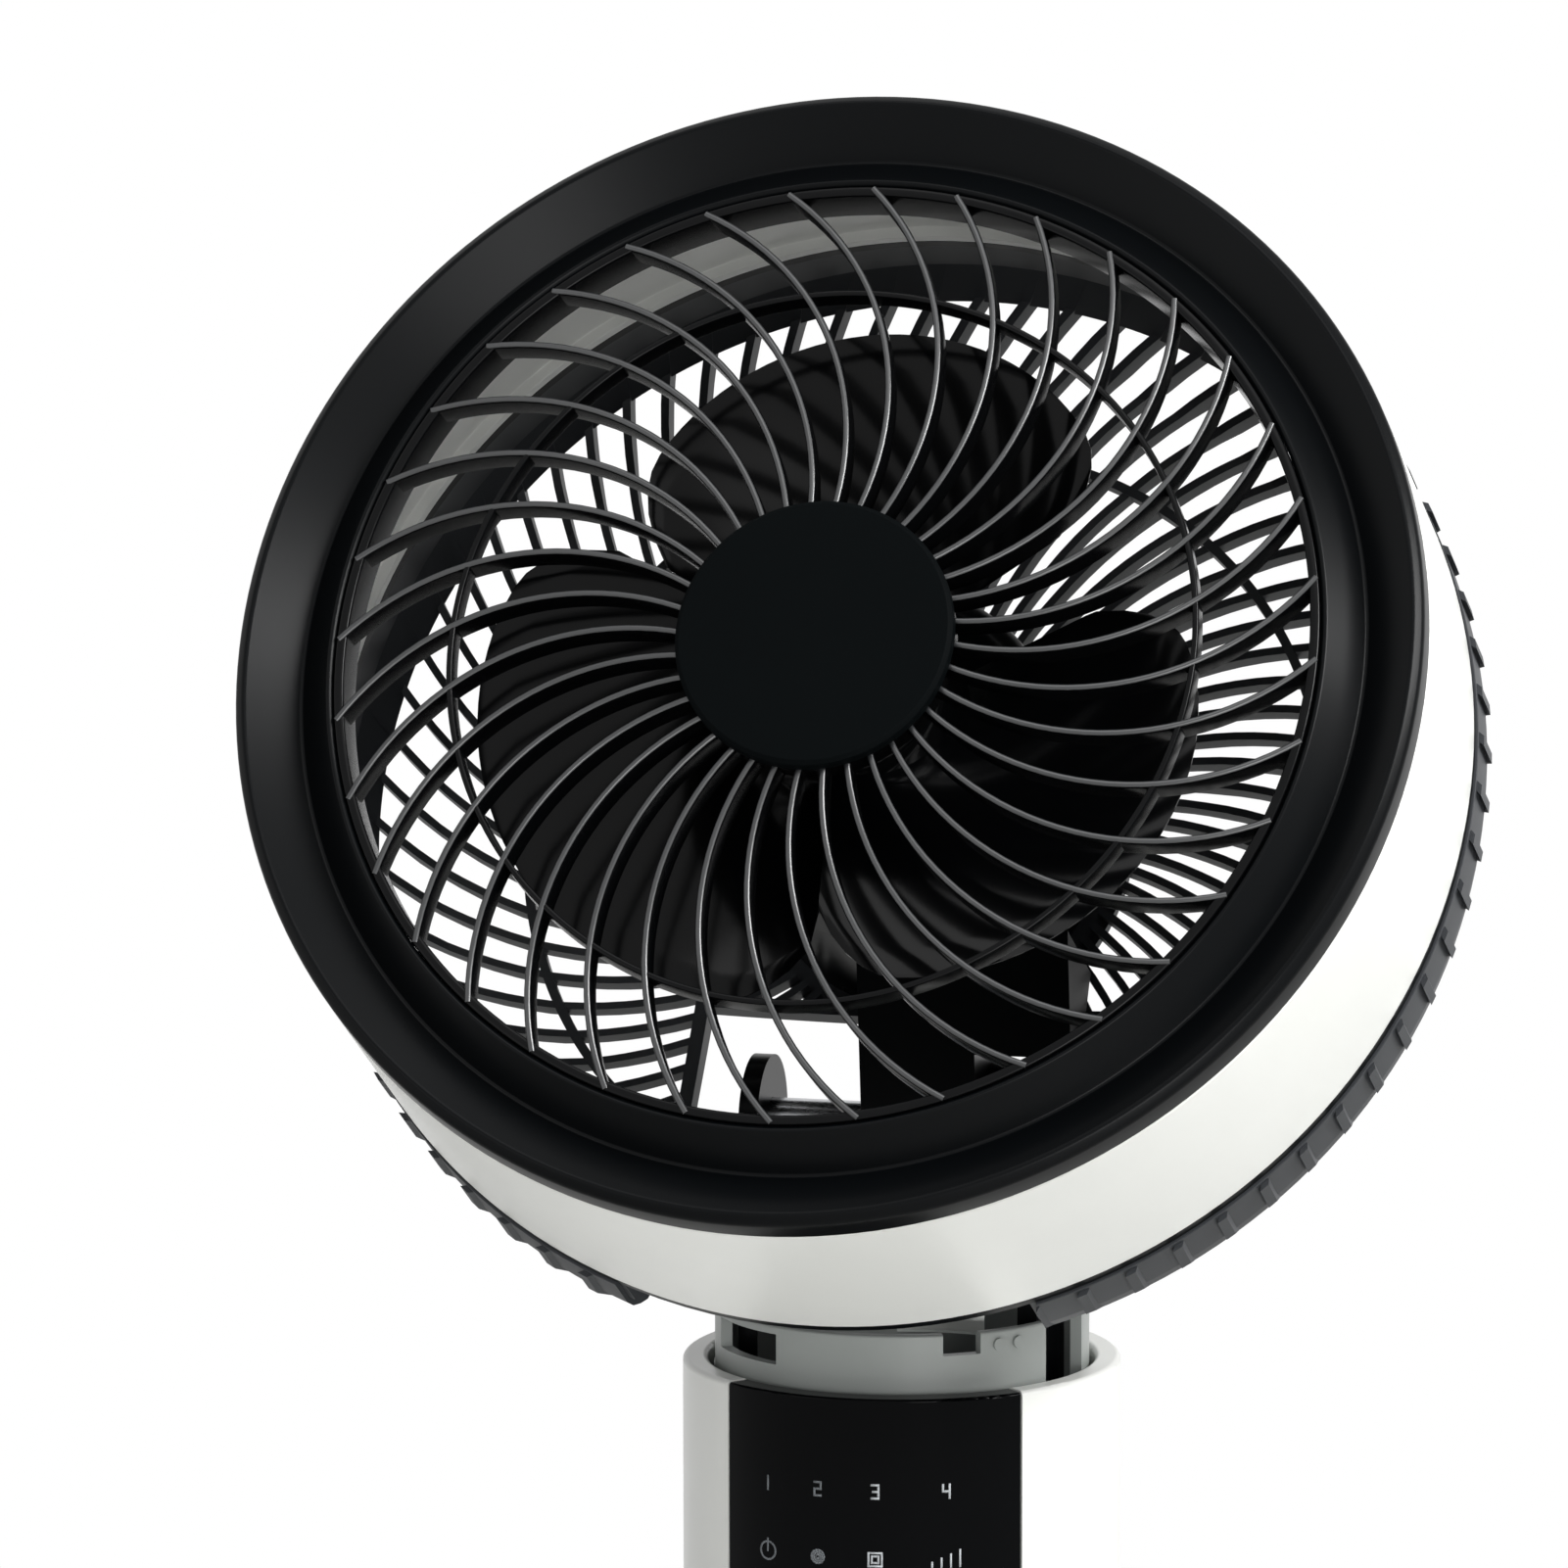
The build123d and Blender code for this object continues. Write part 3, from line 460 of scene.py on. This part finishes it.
rim_outer = opening_radius - rim_gap
fin_line = arc_points(
    polar(cap_radius - fin_root_inset, 0), fin_middle,
    polar(rim_outer - fin_tip_inset, fin_end_deg), fin_steps)
fin_run = []
for point, out in fin_line:
    height = dome_height(math.hypot(*point))
    fin_run.append(fin_ring(point, out, height, height - rib_depth, rib_width))
fins = strips("front_fins", turned_runs(fin_run, front_ribs), head_frame, 60, fin_crown)
fit(fins, "head", gloss_abs, "gloss_black", "front_grille")
# The fins' front edges take the paler black of the painted highlight.
fins.data.materials.append(fin_edge_painted_highlight)

ring_half = 0.8
ring_top = dome_height(ring_radius) - 0.3
ring_low = ring_top - rib_depth + 2
fine_ring = lathe("front_fine_ring", rounded([
    (ring_radius + ring_half, ring_low, 0.2), (ring_radius + ring_half, ring_top, 0.7),
    (ring_radius - ring_half, ring_top, 0.7), (ring_radius - ring_half, ring_low, 0.2),
]), head_frame)
fit(fine_ring, "head", gloss_abs, "gloss_black")

rim_wall = 2.6
rim_top = -0.2
rim = lathe("front_rim", rounded([
    (rim_outer, bezel_low, 0.2), (rim_outer, rim_top, 0.9),
    (rim_outer - rim_wall, rim_top, 0.9), (rim_outer - rim_wall, bezel_low, 0.2),
]), head_frame)
fit(rim, "head", gloss_abs, "gloss_black")

hub_top = cap_seat
hub_outer = cap_radius - 1
hub_inner = cap_radius - 3.5
hub_plate = 2
grille_hub = lathe("front_hub", rounded([
    (AXIS, hub_top, 0), (hub_outer, hub_top, 0.2),
    (hub_outer, hub_top - rib_depth, 0.4), (hub_inner, hub_top - rib_depth, 0.4),
    (hub_inner, hub_top - hub_plate, 0.3), (AXIS, hub_top - hub_plate, 0),
]), head_frame)
fit(grille_hub, "head", gloss_abs, "gloss_black")

# Rear sleeve: a smooth band between the cage's ribs, which stand only a little proud of it.
# It is open below, as the cage is, where the neck passes when the head tilts down.
gap_half_width = 54.0
sleeve_radius = casing_radius + 0.4
sleeve_inner = 148.05
sleeve_front = -83.2
sleeve_dome = 45.0
skirt_back = -97.0
dome_depths = (5.0, 9.0, 12.0)
sleeve_wall = 3.0
sleeve_points = [
    (sleeve_inner, sleeve_front, 0.2), (sleeve_radius, sleeve_front, 0.3),
    (sleeve_radius, skirt_back, 3.0)]
for depth in dome_depths:
    shrink = math.sqrt(1 - (depth / sleeve_dome) ** 2)
    sleeve_points.append((sleeve_radius * shrink, skirt_back - depth, 1.0))
sleeve_points += [
    (sleeve_radius * shrink - sleeve_wall, skirt_back - depth, 0.2),
    (sleeve_inner, skirt_back, 0.5)]
gap_half_deg = math.degrees(math.asin(gap_half_width / sleeve_radius))
sleeve_steps = 160
sleeve_run = []
for i in range(sleeve_steps + 1):
    angle = math.radians(-90 + gap_half_deg + (360 - 2 * gap_half_deg) * i / sleeve_steps)
    sleeve_run.append(turned_points([(r, 0, z) for r, z in rounded(sleeve_points)], angle))
sleeve = strips("rear_sleeve", [sleeve_run], head_frame)
fit(sleeve, "head", cage_pp, "dark_grey")

# Impeller: three broad blades on a domed hub, polished.
blade_count = 3
blade_first = math.radians(90)
blade_tip = 93.0
blade_root = 26.0
blade_span = blade_tip - blade_root
blade_sweep = 112.0
blade_rise = 30.0
blade_twist = math.radians(10)
blade_steps = 40
blade_across = 14
blade_half = 1.1
tip_band = 0.07
tip_thinning = 0.75


def blade_ring(share):
    """Section of a blade from root to tip, at a share of its sweep; it is narrower at both ends."""
    angle = math.radians((share - 0.5) * blade_sweep)
    swell = math.sin(math.pi * (0.07 + 0.86 * share)) ** 0.45
    corner = max(0.0, 1 - min(share, 1 - share) * 8) ** 2
    reach = blade_root + blade_span * (0.55 + 0.45 * swell)
    reach -= blade_span * 0.2 * corner
    centre = -blade_middle - blade_rise * (share - 0.5)
    fullness = math.sin(math.pi * min(1, max(0, share * 0.94 + 0.03))) ** 0.4
    half = blade_half * (0.35 + 0.65 * fullness)
    upper, lower = [], []
    for k in range(blade_across + 1):
        along = k / blade_across
        radius = blade_root + (reach - blade_root) * along
        x, y = radius * math.cos(angle), radius * math.sin(angle)
        lift = (radius - blade_root) * math.sin(blade_twist)
        edge = half * (1 - tip_thinning * max(0.0, along - (1 - tip_band)) / tip_band)
        upper.append((x, y, centre + lift + edge))
        lower.append((x, y, centre + lift - edge))
    return upper + lower[::-1]


blade_run = [blade_ring(i / blade_steps) for i in range(blade_steps + 1)]
blades = strips(
    "impeller_blades", turned_runs(blade_run, blade_count, blade_first), head_frame, 50)
fit(blades, "blades", blade_abs, "gloss_black", "impeller")

spinner_radius = 27.0
spinner_inside = 24.5
spinner_face = 6
boss_radius = 9
bore_radius = 4.0
spinner_front = -blade_middle + 15
spinner_back = spinner_front - 30
blade_hub = lathe("impeller_hub", rounded([
    (bore_radius, spinner_front, 0), (spinner_radius, spinner_front, 6.0),
    (spinner_radius, spinner_back, 0.4), (spinner_inside, spinner_back, 0.4),
    (spinner_inside, spinner_front - spinner_face, 2.0),
    (boss_radius, spinner_front - spinner_face, 0.5),
    (boss_radius, spinner_back, 0.4), (bore_radius, spinner_back, 0),
]), head_frame)
fit(blade_hub, "blades", blade_abs, "gloss_black")


# Print on the control panel: plain numbers and simple marks in pale ink, wrapped on the panel.
column_radius = 56.0
panel_inset = 0.15
panel_radius = column_radius - panel_inset
rim_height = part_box("column_shell")[1][2] / MM
print_lift = 0.12
ink_depth = 0.08


def on_panel(flat):
    """A point of the panel's print, by its distance to the right and below the rim."""
    across, below = flat
    angle = across / panel_radius - math.pi / 2
    radius = panel_radius + print_lift
    return radius * math.cos(angle), radius * math.sin(angle), rim_height - below


def print_strokes(name, strokes, width, ink):
    """Printed lines: each stroke is a run of flat points, drawn as a thin ribbon."""
    points, faces = [], []
    for stroke in strokes:
        for start, end in zip(stroke, stroke[1:]):
            a, b = Vector(start), Vector(end)
            way = (b - a).normalized() * width / 2
            side = Vector((-way.y, way.x))
            first = len(points)
            corners = (a - way + side, b + way + side, b + way - side, a - way - side)
            points += [on_panel(corner) for corner in corners]
            faces.append((first, first + 1, first + 2, first + 3))
    piece = new_piece(name, points, faces, Matrix.Identity(4))
    thicken = piece.modifiers.new("ink", "SOLIDIFY")
    thicken.thickness = ink_depth * MM
    fit(piece, "stand", ink, "gloss_black")


# Seven-stroke digits on a grid one unit wide and two high, y downward
digit_strokes = {
    "1": [[(0.5, 0), (0.5, 2)]],
    "2": [[(0, 0), (1, 0), (1, 1), (0, 1), (0, 2), (1, 2)]],
    "3": [[(0, 0), (1, 0), (1, 2), (0, 2)], [(0.2, 1), (1, 1)]],
    "4": [[(0, 0), (0, 1), (1, 1)], [(1, 0), (1, 2)]],
}


def digit(text, centre, height):
    """Strokes of one digit about a centre."""
    unit = height / 2
    cx, cy = centre
    return [
        [(cx + (x - 0.5) * unit, cy + (y - 1) * unit) for x, y in stroke]
        for stroke in digit_strokes[text]
    ]


def loop(centre, radius, sides, turn=0.0):
    """A closed stroke with even sides."""
    cx, cy = centre
    angles = [turn + 2 * math.pi * i / sides for i in range(sides + 1)]
    return [(cx + radius * math.cos(a), cy + radius * math.sin(a)) for a in angles]


label_below = 24.0
icon_below = 41.5
key_places = (-27.0, -12.5, 2.5, 20.5)
digit_height = 3.4
digit_width = 0.55
mark_width = 0.5
for number, across in zip("1234", key_places):
    # Marks left of the panel's middle take the darker copy of the ink, painted shade.
    ink = ink_painted_shade if across < 0 else ink_bright
    strokes = digit(number, (across, label_below), digit_height)
    print_strokes("panel_number_" + number, strokes, digit_width, ink)

power_at, dot_at, square_at, bars_at = [(across, icon_below) for across in key_places]
power_stem = [(power_at[0], icon_below - 3.0), power_at]
bar_foot = icon_below + 2
bar_sizes = ((-3.6, 1.2), (-1.2, 2.2), (1.2, 3.2), (3.6, 4.2))
bars = [[(bars_at[0] + x, bar_foot), (bars_at[0] + x, bar_foot - h)] for x, h in bar_sizes]
marks = {
    "power": ([loop(power_at, 2.3, 20), power_stem], ink_painted_shade),
    "dot": ([loop(dot_at, radius, 14) for radius in (0.5, 1.1, 1.7)], ink_painted_shade),
    "square": ([loop(square_at, radius, 4, math.pi / 4) for radius in (1.2, 2.4)], ink_bright),
    "bars": (bars, ink_bright),
}
for name, (strokes, ink) in marks.items():
    print_strokes("panel_mark_" + name, strokes, mark_width, ink)


# Stage, light and camera

floor_radius = 2.0
floor_whiteness = 0.6
room_light = 0.26


def make_stage():
    """Pale floor, and a world that is plain white to the eye and in reflections."""
    bpy.ops.mesh.primitive_circle_add(vertices=96, radius=floor_radius, fill_type="NGON")
    floor = bpy.context.object
    floor.name = "floor"
    material = new_material("pale_studio_floor")
    shader = add_node(material, "ShaderNodeBsdfPrincipled", {}, {
        "Base Color": from_hex("F4F4F2"), "Roughness": 0.8})
    glow = add_node(material, "ShaderNodeEmission", {}, {"Color": (1, 1, 1, 1), "Strength": 1.0})
    path = add_node(material, "ShaderNodeLightPath")
    share = add_node(material, "ShaderNodeMath", {"operation": "MULTIPLY"}, {
        0: path.outputs["Is Camera Ray"], 1: floor_whiteness})
    mix = add_node(material, "ShaderNodeMixShader", {}, {
        0: share.outputs[0], 1: shader.outputs["BSDF"], 2: glow.outputs["Emission"]})
    add_node(material, "ShaderNodeOutputMaterial", {}, {"Surface": mix.outputs[0]})
    dress(floor, material)
    world = bpy.context.scene.world or bpy.data.worlds.new("studio")
    bpy.context.scene.world = world
    world.use_nodes = True
    world.node_tree.nodes.clear()
    path = add_node(world, "ShaderNodeLightPath")
    seen = add_node(world, "ShaderNodeMath", {"operation": "MAXIMUM"}, {
        0: path.outputs["Is Camera Ray"], 1: path.outputs["Is Glossy Ray"]})
    seen_or_through = add_node(world, "ShaderNodeMath", {"operation": "MAXIMUM"}, {
        0: seen.outputs[0], 1: path.outputs["Is Transmission Ray"]})
    plain = add_node(world, "ShaderNodeBackground", {}, {
        "Color": (1, 1, 1, 1), "Strength": room_light})
    white = add_node(world, "ShaderNodeBackground", {}, {"Color": (1, 1, 1, 1), "Strength": 1.0})
    mix = add_node(world, "ShaderNodeMixShader", {}, {
        0: seen_or_through.outputs[0], 1: plain.outputs[0], 2: white.outputs[0]})
    add_node(world, "ShaderNodeOutputWorld", {}, {"Surface": mix.outputs[0]})


def make_lamp(name, place, target, width, height, watts):
    """A square-cornered area lamp, sizes in metres, that faces a target."""
    data = bpy.data.lights.new(name, "AREA")
    data.energy = watts
    data.shape = "RECTANGLE"
    data.size = width
    data.size_y = height
    lamp = bpy.data.objects.new(name, data)
    bpy.context.collection.objects.link(lamp)
    lamp.location = place
    lamp.rotation_euler = (Vector(target) - Vector(place)).to_track_quat("-Z", "Y").to_euler()


head_centre = Vector(spin["pos_m"])
make_stage()
make_lamp("key_right", (1.87, -0.70, 2.17), head_centre, 1.25, 0.7, 60)
make_lamp("front_low", (1.1, -2.7, 0.8), head_centre, 1.0, 1.0, 23)
make_lamp("fill_left", (-2.2, -2.4, 1.4), head_centre, 1.6, 1.6, 5)
make_lamp("top_soft", (0.2, -0.6, 3.0), head_centre, 1.6, 1.6, 13)

# The photograph's camera: a long lens 3 m away, above the head and to its left hand.
PHOTO = 1601
SENSOR_MM = 36
camera_turn = math.radians(9.47)
camera_reach = 3.0
column_rim = 0.640
above_rim = 0.639
camera_height = column_rim + above_rim
camera_pitch = math.radians(9.305)
focal_px = 12222
column_px = 920.7

camera_data = bpy.data.cameras.new("photo_camera")
camera_data.sensor_width = SENSOR_MM
camera_data.lens = SENSOR_MM * focal_px / PHOTO
camera_data.shift_x = 0.5 - column_px / PHOTO
camera_data.clip_end = 20
camera = bpy.data.objects.new("photo_camera", camera_data)
bpy.context.collection.objects.link(camera)
camera.location = (
    camera_reach * math.sin(camera_turn), -camera_reach * math.cos(camera_turn), camera_height)
camera.rotation_euler = (math.radians(90) - camera_pitch, 0, camera_turn)
bpy.context.scene.camera = camera

bpy.context.scene.view_settings.view_transform = "Standard"
